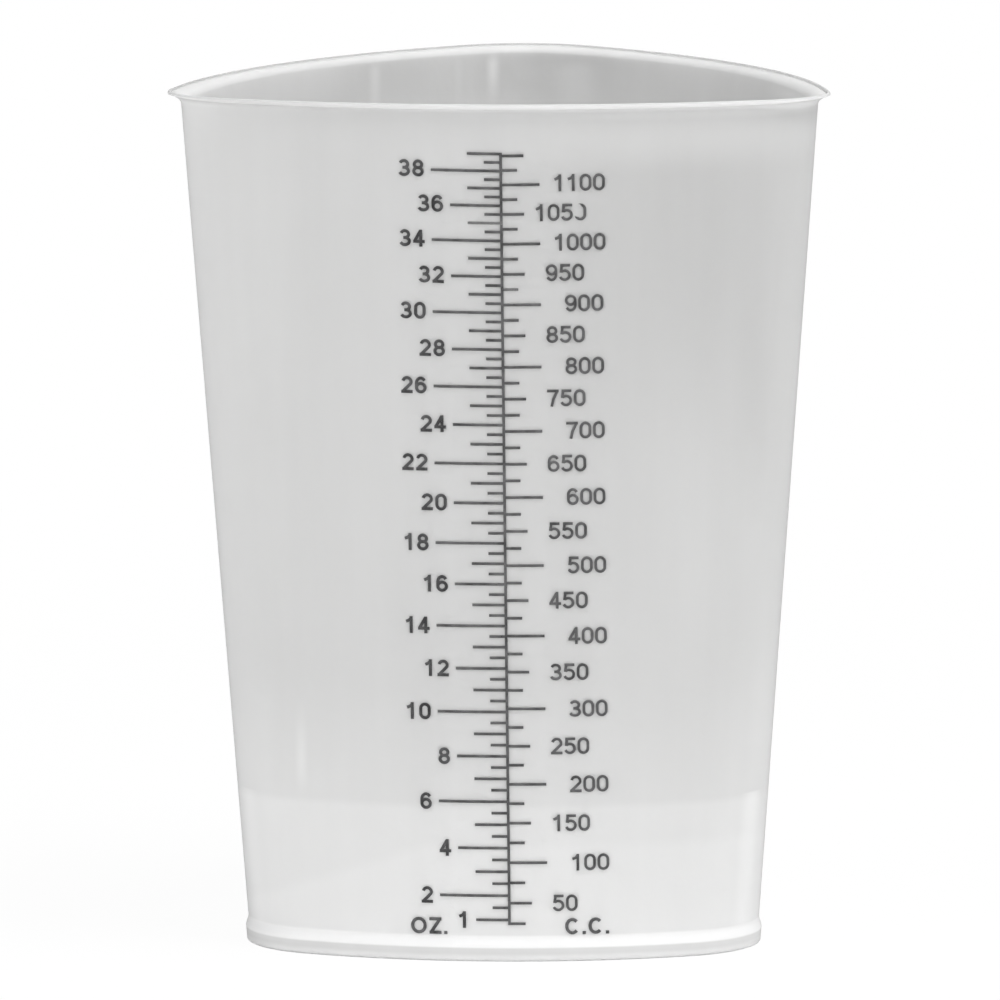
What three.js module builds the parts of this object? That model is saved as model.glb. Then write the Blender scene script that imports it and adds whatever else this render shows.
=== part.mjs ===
// A graduated beaker of triangular plan: one thin translucent moulding, with a scale printed on its front.
// Millimetres, +Z up. The front wall faces -Y, and the third corner points to +Y.
// The origin is at table level, under the middle of the rim's outline.
import * as THREE from "three";

// Angles of the plan
const THIRD = (2 * Math.PI) / 3;
const FRONT = -Math.PI / 2;
const REAR = Math.PI / 2;

// Vessel: overall height and wall
const HEIGHT = 161;
const WALL = 1.3;

// Plan of the outer wall at the rim and at the table. It has three bowed walls and three round corners:
// reach runs from the axis to the centre of a corner, corner is a corner's radius, bow is a wall's radius.
const RIM_REACH = 47.8;
const RIM_CORNER = 18;
const RIM_BOW = 123;
const BASE_REACH = 32.5;
const BASE_CORNER = 19.5;
const BASE_BOW = 90;

// Floor and foot
const FLOOR_LEVEL = 3.2;
const FLOOR_THICKNESS = 1.5;
const FLOOR_FILLET = 2.5;
const FOOT_PROUD = 0.6;
const FOOT_HEIGHT = 2.6;
const FOOT_SLOPE = 2.2;
const FOOT_WIDTH = 2.4;
const FOOT_EDGE = 0.4;

// Rim: a small lip all the way round, which opens out into a pouring lip on the left and on the right.
// The wall thins along the lip, down to the thickness at its edge, which is least at the pouring lips.
// The band is the upright stretch of the lip's outer edge, under its rounding.
const LIP_WALL = 1.0;
const LIP_FLARE = 0.9;
const LIP_DROP = 1.3;
const LIP_BAND = 0.4;
const SPOUT_WALL = 0.7;
const SPOUT_FLARE = 2.5;
const SPOUT_DROP = 2.3;
const SPOUT_BAND = 0.2;
const LIP_CURL = THREE.MathUtils.degToRad(62);
const SPOUT_TURN = THREE.MathUtils.degToRad(20);
const SPOUT_SPREAD = THREE.MathUtils.degToRad(60);
const SPOUT_FACINGS = [-SPOUT_TURN, Math.PI + SPOUT_TURN];

// Printed scale: ounces to the left of the spine, cubic centimetres to the right. The spine leans to the left
// on its way up, and its foot is how far it would lie to the right of the wall's middle at table level.
const CC = 1000;
const FLUID_OUNCE = 29.5735 * CC;
const OUNCE_FIRST = 1;
const OUNCE_STEP = 0.5;
const CC_FIRST = 25;
const CC_STEP = 25;
const SCALE_HEADROOM = 9;
const SPINE_FOOT = 2.6;
const SPINE_LEAN = THREE.MathUtils.degToRad(0.34);
const INK_LINE = 0.5;
const INK_FILM = 0.12;
const INK_GAP = 0.08;
const HALF_OUNCE_MARK = 3.1;
const ODD_OUNCE_MARK = 6.2;
const FOURTH_OUNCE_MARK = 9.4;
const EVEN_OUNCE_MARK = 12.9;
const CC_25_MARK = 3.0;
const CC_50_MARK = 4.2;
const CC_100_MARK = 7.1;

// Fineness of the facets
const WALL_STEPS = 14;
const CORNER_STEPS = 12;
const LIP_STEPS = 4;
const EDGE_STEPS = 4;
const FILLET_STEPS = 3;
const SLOPE_STEPS = 3;
const LEVEL_STEP = 0.5;
const INK_SNAP = 0.01;

const { lerp, smoothstep, euclideanModulo } = THREE.MathUtils;

// One rounded triangle. Each bowed wall is an arc that runs smoothly into the corners beside it:
// back is how far the arc's centre lies behind the axis, and halfWall is half the angle that it spans.
function roundedTriangle(reach, corner, bow) {
  const back = (Math.sqrt(4 * (bow - corner) ** 2 - 3 * reach ** 2) - reach) / 2;
  const halfWall = Math.atan2(reach * Math.sin(THIRD / 2), back + reach * Math.cos(THIRD / 2));
  return { reach, corner, bow, back, halfWall };
}

const RIM = roundedTriangle(RIM_REACH, RIM_CORNER, RIM_BOW);
const BASE = roundedTriangle(BASE_REACH, BASE_CORNER, BASE_BOW);

function direction(angle) {
  return new THREE.Vector2(Math.cos(angle), Math.sin(angle));
}

// The point of a rounded triangle whose surface faces the given way.
function planPoint(shape, facing) {
  const wallFacing = FRONT + THIRD * Math.round((facing - FRONT) / THIRD);
  const off = facing - wallFacing;
  if (Math.abs(off) <= shape.halfWall) {
    return direction(facing).multiplyScalar(shape.bow).addScaledVector(direction(wallFacing), -shape.back);
  }
  const cornerFacing = wallFacing + (Math.sign(off) * THIRD) / 2;
  return direction(facing).multiplyScalar(shape.corner).addScaledVector(direction(cornerFacing), shape.reach);
}

// The outer wall is drawn straight from the base plan to the rim plan, between points that face the same way,
// so moving along that direction gives a true offset: inset is positive towards the inside.
function outlinePoint(facing, inset, z) {
  const onWall = planPoint(BASE, facing).lerp(planPoint(RIM, facing), z / HEIGHT);
  return onWall.addScaledVector(direction(facing), -inset);
}

// How far the lip stands out, how deep it starts, and its edge, in each direction. The edge's rounding starts
// at the level.
function lipAt(facing) {
  const weights = SPOUT_FACINGS.map((spout) => {
    const off = Math.abs(euclideanModulo(facing - spout + Math.PI, 2 * Math.PI) - Math.PI);
    return off < SPOUT_SPREAD ? Math.cos(((Math.PI / 2) * off) / SPOUT_SPREAD) ** 2 : 0;
  });
  const weight = Math.max(...weights);
  const edge = lerp(LIP_WALL, SPOUT_WALL, weight);
  return {
    flare: lerp(LIP_FLARE, SPOUT_FLARE, weight),
    drop: lerp(LIP_DROP, SPOUT_DROP, weight),
    band: lerp(LIP_BAND, SPOUT_BAND, weight),
    edge,
    level: HEIGHT - edge / 2,
  };
}

// The axis of the triangle lies in front of or behind the origin so that the rim's outline is centred on it.
const [FRONT_END, REAR_END] = [FRONT, REAR].map((facing) => {
  const { flare, level } = lipAt(facing);
  return outlinePoint(facing, -flare, level).y;
});
const AXIS_Y = -(FRONT_END + REAR_END) / 2;

function surfacePoint(facing, inset, z) {
  const p = outlinePoint(facing, inset, z);
  return new THREE.Vector3(p.x, p.y + AXIS_Y, z);
}

// The directions at which the outline is cut into facets, once round from the middle of the front wall.
function facings() {
  const list = [];
  for (let side = 0; side < 3; side += 1) {
    const wallFacing = FRONT + side * THIRD;
    const cornerSpan = THIRD - 2 * RIM.halfWall;
    for (let i = 0; i < WALL_STEPS; i += 1) {
      list.push(wallFacing + RIM.halfWall * ((2 * i) / WALL_STEPS - 1));
    }
    for (let i = 0; i < CORNER_STEPS; i += 1) {
      list.push(wallFacing + RIM.halfWall + (cornerSpan * i) / CORNER_STEPS);
    }
  }
  return list;
}

const FACINGS = facings();

// The wall's section in one direction, as [inset, z] pairs. It runs from the underside of the floor out to
// the foot, up the outside, over the lip and down the inside to the floor.
function section(facing) {
  const { flare, drop, band, edge, level } = lipAt(facing);
  const points = [];

  // Foot ring, and the slope from the foot back to the wall
  points.push([FOOT_WIDTH - FOOT_PROUD, FLOOR_LEVEL - FLOOR_THICKNESS]);
  points.push([FOOT_WIDTH - FOOT_PROUD, 0]);
  points.push([FOOT_EDGE - FOOT_PROUD, 0]);
  points.push([-FOOT_PROUD, FOOT_EDGE]);
  for (let i = 0; i <= SLOPE_STEPS; i += 1) {
    const t = i / SLOPE_STEPS;
    points.push([-FOOT_PROUD * (1 - smoothstep(t, 0, 1)), FOOT_HEIGHT + FOOT_SLOPE * t]);
  }

  // The lip curls out from the wall to its band. The same curve shapes its inside, which draws in from the
  // wall's thickness to the edge's. The edge is half round.
  const curl = (atWall, atEdge, lower) =>
    Array.from({ length: LIP_STEPS + 1 }, (_, i) => {
      const turn = (LIP_CURL * i) / LIP_STEPS;
      const out = (flare * (1 - Math.cos(turn))) / (1 - Math.cos(LIP_CURL));
      const up = (drop * Math.sin(turn)) / Math.sin(LIP_CURL);
      return [lerp(atWall, atEdge, i / LIP_STEPS) - out, level - drop + up - lerp(0, lower, i / LIP_STEPS)];
    });
  points.push(...curl(0, 0, band));
  for (let i = 0; i < EDGE_STEPS; i += 1) {
    const turn = (Math.PI * i) / EDGE_STEPS;
    points.push([(edge / 2) * (1 - Math.cos(turn)) - flare, level + (edge / 2) * Math.sin(turn)]);
  }
  points.push(...curl(WALL, edge, 0).reverse());

  // Inside of the wall, and the fillet into the floor
  for (let i = 0; i <= FILLET_STEPS; i += 1) {
    const turn = ((Math.PI / 2) * i) / FILLET_STEPS;
    points.push([
      WALL + FLOOR_FILLET * (1 - Math.cos(turn)),
      FLOOR_LEVEL + FLOOR_FILLET * (1 - Math.sin(turn)),
    ]);
  }
  return points;
}

function geometryOf(positions, triangles) {
  const geometry = new THREE.BufferGeometry();
  geometry.setAttribute("position", new THREE.Float32BufferAttribute(positions, 3));
  geometry.setIndex(triangles);
  geometry.computeVertexNormals();
  return geometry;
}

// The vessel: the section carried round the plan, and closed by the floor's two faces.
function vesselGeometry() {
  const positions = [];
  const triangles = [];
  const sections = FACINGS.map(section);
  const count = sections[0].length;
  FACINGS.forEach((facing, i) => {
    for (const [inset, z] of sections[i]) {
      positions.push(...surfacePoint(facing, inset, z));
    }
  });
  const underside = FACINGS.length * count;
  const inside = underside + 1;
  positions.push(0, AXIS_Y, FLOOR_LEVEL - FLOOR_THICKNESS);
  positions.push(0, AXIS_Y, FLOOR_LEVEL);
  FACINGS.forEach((_, i) => {
    const here = i * count;
    const next = ((i + 1) % FACINGS.length) * count;
    for (let j = 0; j + 1 < count; j += 1) {
      triangles.push(here + j, next + j, next + j + 1);
      triangles.push(here + j, next + j + 1, here + j + 1);
    }
    triangles.push(underside, next, here);
    triangles.push(inside, here + count - 1, next + count - 1);
  });
  return geometryOf(positions, triangles);
}

// Area that a liquid covers inside the vessel at a height.
function insideArea(z) {
  const outline = FACINGS.map((facing) => outlinePoint(facing, WALL, z));
  return THREE.ShapeUtils.area(outline);
}

// Heights and the volume held below each, from the floor to the rim. The floor's small fillet is left out.
function fillTable() {
  const table = [{ z: FLOOR_LEVEL, volume: 0 }];
  let area = insideArea(FLOOR_LEVEL);
  for (let z = FLOOR_LEVEL + LEVEL_STEP; z < HEIGHT; z += LEVEL_STEP) {
    const above = insideArea(z);
    const volume = table[table.length - 1].volume + ((area + above) / 2) * LEVEL_STEP;
    table.push({ z, volume });
    area = above;
  }
  return table;
}

const FILL = fillTable();

// The height at which the vessel holds a volume.
function levelOf(volume) {
  const above = FILL.findIndex((row) => row.volume >= volume);
  if (above < 1) {
    return Infinity;
  }
  const high = FILL[above];
  const low = FILL[above - 1];
  return lerp(low.z, high.z, (volume - low.volume) / (high.volume - low.volume));
}

function ounceMark(ounces) {
  if (ounces % 1) {
    return HALF_OUNCE_MARK;
  }
  if (ounces % 2) {
    return ODD_OUNCE_MARK;
  }
  return ounces % 4 ? EVEN_OUNCE_MARK : FOURTH_OUNCE_MARK;
}

function ccMark(cc) {
  if (cc % 50) {
    return CC_25_MARK;
  }
  return cc % 100 ? CC_50_MARK : CC_100_MARK;
}

// Every mark of one unit that lies below the scale's top, as its height and length.
function marksOf(first, step, unitVolume, lengthOf) {
  const marks = [];
  for (let value = first; levelOf(value * unitVolume) <= HEIGHT - SCALE_HEADROOM; value += step) {
    marks.push({ z: levelOf(value * unitVolume), length: lengthOf(value) });
  }
  return marks;
}

// A point of the printed film: x is measured from the spine along the front wall, lift outwards from it.
function inkPoint(x, z, lift) {
  const bow = lerp(BASE.bow, RIM.bow, z / HEIGHT);
  const spine = SPINE_FOOT - z * Math.tan(SPINE_LEAN);
  return surfacePoint(FRONT + Math.asin((spine + x) / bow), -lift, z);
}

function ascending(values) {
  return [...new Set(values)].sort((a, b) => a - b);
}

function snap(value) {
  return Math.round(value / INK_SNAP) * INK_SNAP;
}

// The scale's spine and marks as one film of ink. The film is laid out in rows, between the edges of all
// marks, and in columns, between the ends of all marks. A cell is inked if it lies on the spine or on a mark.
function scaleGeometry() {
  const left = marksOf(OUNCE_FIRST, OUNCE_STEP, FLUID_OUNCE, ounceMark);
  const right = marksOf(CC_FIRST, CC_STEP, CC, ccMark);
  const half = INK_LINE / 2;
  const edgesOf = (mark) => [snap(mark.z - half), snap(mark.z + half)];
  const rows = ascending([...left, ...right].flatMap(edgesOf));
  const columns = ascending([
    -half,
    half,
    ...left.map((mark) => -mark.length),
    ...right.map((mark) => mark.length),
  ]);

  const longest = (marks, low, high) => {
    const here = marks.filter((mark) => edgesOf(mark)[0] <= low && high <= edgesOf(mark)[1]);
    return Math.max(half, ...here.map((mark) => mark.length));
  };
  const reaches = rows.slice(1).map((high, r) => ({
    left: longest(left, rows[r], high),
    right: longest(right, rows[r], high),
  }));
  const inked = (c, r) =>
    r >= 0 &&
    r < reaches.length &&
    c >= 0 &&
    c + 1 < columns.length &&
    columns[c] >= -reaches[r].left &&
    columns[c + 1] <= reaches[r].right;

  const positions = [];
  const triangles = [];
  const numbers = new Map();
  const corner = (c, r, lift) => {
    const key = `${c} ${r} ${lift}`;
    if (!numbers.has(key)) {
      numbers.set(key, numbers.size);
      positions.push(...inkPoint(columns[c], rows[r], lift));
    }
    return numbers.get(key);
  };
  const quad = (a, b, c, d) => triangles.push(a, b, c, a, c, d);
  const face = INK_GAP + INK_FILM;
  const wall = (c0, r0, c1, r1) =>
    quad(corner(c0, r0, face), corner(c0, r0, INK_GAP), corner(c1, r1, INK_GAP), corner(c1, r1, face));

  for (let r = 0; r < reaches.length; r += 1) {
    for (let c = 0; c + 1 < columns.length; c += 1) {
      if (!inked(c, r)) {
        continue;
      }
      quad(corner(c, r, face), corner(c + 1, r, face), corner(c + 1, r + 1, face), corner(c, r + 1, face));
      quad(
        corner(c, r, INK_GAP),
        corner(c, r + 1, INK_GAP),
        corner(c + 1, r + 1, INK_GAP),
        corner(c + 1, r, INK_GAP),
      );
      if (!inked(c, r - 1)) {
        wall(c, r, c + 1, r);
      }
      if (!inked(c + 1, r)) {
        wall(c + 1, r, c + 1, r + 1);
      }
      if (!inked(c, r + 1)) {
        wall(c + 1, r + 1, c, r + 1);
      }
      if (!inked(c - 1, r)) {
        wall(c, r + 1, c, r);
      }
    }
  }
  return geometryOf(positions, triangles);
}

const translucentPlastic = new THREE.MeshStandardMaterial({
  color: 0xdcdddd,
  roughness: 0.42,
  metalness: 0,
  transparent: true,
  opacity: 0.72,
});
const blackInk = new THREE.MeshStandardMaterial({ color: 0x2a2a2b, roughness: 0.6, metalness: 0 });

function named(name, geometry, material) {
  const mesh = new THREE.Mesh(geometry, material);
  mesh.name = name;
  return mesh;
}

const beaker = new THREE.Group();
beaker.add(named("vessel", vesselGeometry(), translucentPlastic));
beaker.add(named("scale_print", scaleGeometry(), blackInk));

export default beaker;
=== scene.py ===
"""Looks of a graduated beaker: a milky moulded vessel with a double scale printed on its front wall.

Metres, +Z up. The front wall faces -Y, the third corner of the rounded triangular plan points to +Y, and the
pouring lips are at -X and +X.
"""

import logging
import math
from collections.abc import Callable, Iterable, Sequence
from dataclasses import dataclass, field, fields, replace
from enum import Enum
from functools import cached_property
from typing import Any, TypeVar

import bpy
import numpy as np
from mathutils import Matrix, Vector


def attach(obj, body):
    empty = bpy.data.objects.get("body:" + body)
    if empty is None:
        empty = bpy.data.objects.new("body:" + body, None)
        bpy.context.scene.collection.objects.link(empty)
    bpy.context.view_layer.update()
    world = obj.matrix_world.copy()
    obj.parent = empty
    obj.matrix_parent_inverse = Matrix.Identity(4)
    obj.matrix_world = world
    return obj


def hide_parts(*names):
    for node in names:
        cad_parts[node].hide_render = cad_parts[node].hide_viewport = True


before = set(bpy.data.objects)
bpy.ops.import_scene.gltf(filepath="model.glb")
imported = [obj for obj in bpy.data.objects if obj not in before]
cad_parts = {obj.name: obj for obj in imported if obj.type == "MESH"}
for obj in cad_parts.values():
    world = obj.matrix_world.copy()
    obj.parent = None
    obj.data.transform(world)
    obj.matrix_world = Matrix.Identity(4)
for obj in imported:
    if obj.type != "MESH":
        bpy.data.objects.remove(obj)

LOG = logging.getLogger("beaker")

MM = 0.001
CC = 1e-6
FLUID_OUNCE = 29.5735 * CC
TURN = 2 * math.pi
THIRD = TURN / 3
SIXTH = TURN / 6
FRONT = -TURN / 4
REAR = TURN / 4
FULL = 1.0
BODY = "root"
WHITE = (1.0, 1.0, 1.0, 1.0)
BLACK = (0.0, 0.0, 0.0, 1.0)

Point = tuple[float, float]
Colour = tuple[float, float, float, float]
Form = TypeVar("Form")


class Slot(Enum):
    """Material slots of the record."""

    PLASTIC = "milky_polypropylene"
    INK = "black_ink"


def arithmetic(operation: str, mirrored: bool = False) -> Callable[["Value", "Number"], "Value"]:
    """Makes an operator of Python that adds a Math node.

    Args:
        operation: The Math node's operation.
        mirrored: Whether the other number comes first.

    Returns:
        The operator.
    """

    def apply(value: "Value", other: "Number") -> "Value":
        """The operation on a value and another number."""
        operands = (other, value) if mirrored else (value, other)
        return value.graph.math(operation, *operands)

    return apply


class Value:
    """One number of a node tree, which takes part in Python arithmetic."""

    # With this, an array leaves the arithmetic to the value.
    __array_ufunc__ = None

    __add__ = arithmetic("ADD")
    __radd__ = arithmetic("ADD", mirrored=True)
    __sub__ = arithmetic("SUBTRACT")
    __rsub__ = arithmetic("SUBTRACT", mirrored=True)
    __mul__ = arithmetic("MULTIPLY")
    __rmul__ = arithmetic("MULTIPLY", mirrored=True)
    __truediv__ = arithmetic("DIVIDE")
    __pow__ = arithmetic("POWER")

    def __init__(self, graph: "Graph", socket: bpy.types.NodeSocket) -> None:
        """Keeps the socket and the graph that new Math nodes go into."""
        self.graph = graph
        self.socket = socket

    def __neg__(self) -> "Value":
        """This number with its sign turned."""
        return self.graph.math("MULTIPLY", self, -1.0)

    def __abs__(self) -> "Value":
        """This number without its sign."""
        return self.graph.math("ABSOLUTE", self)


Number = float | np.ndarray | Value


class Graph:
    """A node tree under construction."""

    def __init__(self, tree: bpy.types.NodeTree) -> None:
        """Keeps the tree that the nodes go into."""
        self.tree = tree

    def feed(self, socket: bpy.types.NodeSocket, source: Any) -> None:
        """Links a socket to a value or another socket, or sets it to a constant.

        Args:
            socket: The input that is fed.
            source: A Value, an output socket, or a constant.
        """
        if isinstance(source, Value):
            source = source.socket
        if isinstance(source, bpy.types.NodeSocket):
            self.tree.links.new(source, socket)
        else:
            socket.default_value = source

    def node(
        self,
        kind: str,
        settings: dict[str, Any] | None = None,
        sockets: dict[str | int, Any] | None = None,
    ) -> bpy.types.Node:
        """Adds a node.

        Args:
            kind: The node's type.
            settings: Its own settings, which are set first.
            sockets: The values or links of its inputs, by name or number.

        Returns:
            The new node.
        """
        node = self.tree.nodes.new(kind)
        for name, setting in (settings or {}).items():
            setattr(node, name, setting)
        for key, source in (sockets or {}).items():
            self.feed(node.inputs[key], source)
        return node

    def value(
        self,
        kind: str,
        settings: dict[str, Any] | None = None,
        sockets: dict[str | int, Any] | None = None,
        output: str | int = 0,
    ) -> Value:
        """Adds a node and gives one of its outputs.

        Args:
            kind: The node's type.
            settings: Its own settings.
            sockets: The values or links of its inputs.
            output: The name or number of the output.

        Returns:
            The output as a value.
        """
        return Value(self, self.node(kind, settings, sockets).outputs[output])

    def math(self, operation: str, *operands: Number) -> Value:
        """The result of one Math node."""
        return self.value("ShaderNodeMath", {"operation": operation}, dict(enumerate(operands)))

    def vector(self, x: Number, y: Number, z: Number) -> Value:
        """Three numbers as one vector."""
        return self.value("ShaderNodeCombineXYZ", None, {"X": x, "Y": y, "Z": z})

    def parts(self, vector: Value) -> tuple[Value, Value, Value]:
        """The three numbers of a vector."""
        split = self.node("ShaderNodeSeparateXYZ", None, {"Vector": vector})
        return tuple(Value(self, socket) for socket in split.outputs)


class Shading(Graph):
    """The node tree of a material."""

    MIX_FIRST = 6
    MIX_SECOND = 7
    MIX_RESULT = 2
    NOISE_MIDDLE = 0.5

    def __init__(self, name: str) -> None:
        """Starts an empty material.

        Args:
            name: The material's name.
        """
        self.material = bpy.data.materials.new(name)
        self.material.use_nodes = True
        self.material.node_tree.nodes.clear()
        super().__init__(self.material.node_tree)

    @cached_property
    def place(self) -> Value:
        """The place on the object."""
        return self.value("ShaderNodeTexCoord", None, None, "Object")

    def attribute(self, name: str) -> Value:
        """A number that the points of the mesh carry."""
        return self.value("ShaderNodeAttribute", {"attribute_name": name}, None, "Fac")

    def ramp(self, value: Value, start: float, end: float) -> Value:
        """A smooth step from 0 at the start to 1 at the end."""
        sockets = {"Value": value, "From Min": start, "From Max": end}
        return self.value("ShaderNodeMapRange", {"interpolation_type": "SMOOTHSTEP"}, sockets)

    def noise(self, stretch: tuple[float, float, float], detail: float = 2.0) -> Value:
        """Noise about zero.

        Args:
            stretch: How many waves there are to a metre along each axis.
            detail: How many finer layers lie on it.

        Returns:
            Numbers between about -0.5 and 0.5.
        """
        spread = self.value("ShaderNodeMapping", None, {"Vector": self.place, "Scale": stretch})
        sockets = {"Vector": spread, "Scale": 1.0, "Detail": detail}
        return self.value("ShaderNodeTexNoise", None, sockets) - self.NOISE_MIDDLE

    def mix(self, share: Value, first: Colour, second: Colour) -> Value:
        """A colour between two others."""
        sockets = {"Factor": share, self.MIX_FIRST: first, self.MIX_SECOND: second}
        return self.value("ShaderNodeMix", {"data_type": "RGBA"}, sockets, self.MIX_RESULT)

    def bump(self, height: Value, depth: float) -> Value:
        """A normal over small relief, whose height of 1 stands for the given depth."""
        return self.value("ShaderNodeBump", None, {"Height": height, "Distance": depth})

    def finish(self, settings: dict[str, Any], sockets: dict[str | int, Any]) -> bpy.types.Material:
        """Ends the tree with a Principled shader.

        Args:
            settings: The shader's own settings.
            sockets: The values or links of its inputs.

        Returns:
            The finished material.
        """
        shader = self.value("ShaderNodeBsdfPrincipled", settings, sockets)
        self.node("ShaderNodeOutputMaterial", None, {"Surface": shader})
        return self.material


def dual(operation: str, plain: Callable) -> Callable:
    """Makes a function that works on plain numbers and on the values of a node tree alike.

    Args:
        operation: The Math node's operation.
        plain: The same operation on plain numbers.

    Returns:
        The function.
    """

    def run(*operands: Number) -> Number:
        """Adds a Math node if an operand is in a tree, and works the number out otherwise.

        Args:
            *operands: Plain numbers or values of a tree.

        Returns:
            The result, a plain number or a value.
        """
        for operand in operands:
            if isinstance(operand, Value):
                return operand.graph.math(operation, *operands)
        return plain(*operands)

    return run


cos = dual("COSINE", np.cos)
sin = dual("SINE", np.sin)
arcsin = dual("ARCSINE", np.arcsin)
arctan2 = dual("ARCTAN2", np.arctan2)
sign = dual("SIGN", np.sign)
nearest = dual("ROUND", np.round)
larger = dual("MAXIMUM", np.maximum)
smaller = dual("MINIMUM", np.minimum)
remainder = dual("FLOORED_MODULO", np.mod)
below = dual("LESS_THAN", lambda a, b: np.where(np.less(a, b), 1.0, 0.0))


class GeometryTool(Graph):
    """A geometry node tree with named inputs, which runs once on a mesh and leaves a plain mesh."""

    def __init__(self, name: str, finish: bpy.types.Material) -> None:
        """Starts the tree.

        Args:
            name: The tree's name.
            finish: The material that the result gets.
        """
        super().__init__(bpy.data.node_groups.new(name, "GeometryNodeTree"))
        self.inputs: dict[str, Any] = {}
        self.finish = finish
        self.entry = self.node("NodeGroupInput")
        self.geometry = self.add_input("Geometry", "NodeSocketGeometry")
        self.tree.interface.new_socket("Geometry", in_out="OUTPUT", socket_type="NodeSocketGeometry")

    def add_input(self, name: str, kind: str, setting: Any = None) -> Value:
        """Adds a named input to the tree.

        Args:
            name: The input's name.
            kind: The socket's type.
            setting: What the modifier sets it to.

        Returns:
            The input as a value inside the tree.
        """
        socket = self.tree.interface.new_socket(name, in_out="INPUT", socket_type=kind)
        if setting is not None:
            self.inputs[socket.identifier] = setting
        return Value(self, self.entry.outputs[name])

    def size(self, name: str, setting: float) -> Value:
        """Adds a named size."""
        return self.add_input(name, "NodeSocketFloat", setting)

    def count(self, name: str, setting: int) -> Value:
        """Adds a named count."""
        return self.add_input(name, "NodeSocketInt", setting)

    def attribute(self, name: str) -> Value:
        """A number that the points of the mesh carry."""
        return self.value("GeometryNodeInputNamedAttribute", {"data_type": "FLOAT"}, {"Name": name})

    def place(self, geometry: Value, x: Number, y: Number, z: Number) -> Value:
        """Moves every point of a geometry to a new place.

        Args:
            geometry: The geometry that is moved.
            x: The new first coordinate.
            y: The new second coordinate.
            z: The new third coordinate.

        Returns:
            The moved geometry.
        """
        sockets = {"Geometry": geometry, "Position": self.vector(x, y, z)}
        return self.value("GeometryNodeSetPosition", None, sockets)

    def close(self, geometry: Value) -> None:
        """Ends the tree.

        Args:
            geometry: The finished geometry.
        """
        finish = self.add_input("Finish", "NodeSocketMaterial", self.finish)
        geometry = self.value("GeometryNodeRealizeInstances", None, {"Geometry": geometry})
        geometry = self.value("GeometryNodeSetMaterial", None, {"Geometry": geometry, "Material": finish})
        self.node("NodeGroupOutput", None, {"Geometry": geometry})

    def run(self, name: str, start: bpy.types.Mesh) -> bpy.types.Object:
        """Runs the tree on a mesh.

        Args:
            name: The name of the object that is made.
            start: The mesh that goes in. It is removed.

        Returns:
            An object with the resulting mesh and no modifier.
        """
        made = bpy.data.objects.new(name, start)
        bpy.context.scene.collection.objects.link(made)
        modifier = made.modifiers.new(self.tree.name, "NODES")
        modifier.node_group = self.tree
        for identifier, setting in self.inputs.items():
            modifier[identifier] = setting
        evaluated = made.evaluated_get(bpy.context.evaluated_depsgraph_get())
        mesh = bpy.data.meshes.new_from_object(evaluated)
        made.modifiers.remove(modifier)
        made.data = mesh
        mesh.name = name
        bpy.data.meshes.remove(start)
        return made


def mesh_of_points(name: str, points: Iterable, edges: Iterable, **numbers: Iterable) -> bpy.types.Mesh:
    """Makes a mesh of points and edges that carry numbers.

    Args:
        name: The mesh's name.
        points: The points' places.
        edges: The pairs of points that are joined.
        **numbers: One number for each point, by the name of the attribute.

    Returns:
        The mesh.
    """
    mesh = bpy.data.meshes.new(name)
    mesh.from_pydata(list(points), list(edges), [])
    for attribute, values in numbers.items():
        mesh.attributes.new(attribute, "FLOAT", "POINT").data.foreach_set("value", list(values))
    return mesh


def settle(piece: bpy.types.Object, slot: Slot, *replaced: str) -> None:
    """Puts a finished piece on the beaker's body.

    Args:
        piece: The piece.
        slot: The record's slot that its finish belongs to. It is not used.
        *replaced: The solids that it stands for.
    """
    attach(piece, BODY)
    if replaced:
        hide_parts(*replaced)
    LOG.info("%s: %d faces", piece.name, len(piece.data.polygons))


def with_inputs(form: Form, tool: GeometryTool, label: str) -> Form:
    """Carries a form into a tree, with its sizes as named inputs.

    Args:
        form: The form in plain numbers.
        tool: The tree.
        label: What the names of the inputs start with.

    Returns:
        The same form in values of the tree.
    """
    sizes = {}
    for size in fields(form):
        name = f"{label} {size.name}".replace("_", " ")
        sizes[size.name] = tool.size(name, getattr(form, size.name))
    return type(form)(**sizes)


@dataclass(frozen=True)
class RoundedTriangle:
    """A plan of three bowed walls that run smoothly into three round corners.

    reach runs from the axis to a corner's centre, corner is a corner's radius and bow is a wall's radius.
    """

    reach: Number
    corner: Number
    bow: Number

    @cached_property
    def back(self) -> Number:
        """How far a wall's centre lies behind the axis."""
        across = 4 * (self.bow - self.corner) ** 2 - 3 * self.reach**2
        return (across**0.5 - self.reach) / 2

    @cached_property
    def half_wall(self) -> Number:
        """Half of the angle that a wall spans."""
        return arctan2(self.reach * math.sin(SIXTH), self.back + self.reach * math.cos(SIXTH))

    def point(self, facing: Number) -> tuple[Number, Number]:
        """The point of the plan that faces a given way.

        Args:
            facing: The direction of the outline's normal, in radians from +X.

        Returns:
            Its place from the axis.
        """
        wall = FRONT + THIRD * nearest((facing - FRONT) / THIRD)
        off = facing - wall
        on_wall = below(abs(off), self.half_wall)
        radius = self.corner + on_wall * (self.bow - self.corner)
        shift = self.reach - on_wall * (self.reach + self.back)
        heading = wall + (1 - on_wall) * sign(off) * SIXTH
        return (
            radius * cos(facing) + shift * cos(heading),
            radius * sin(facing) + shift * sin(heading),
        )


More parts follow.
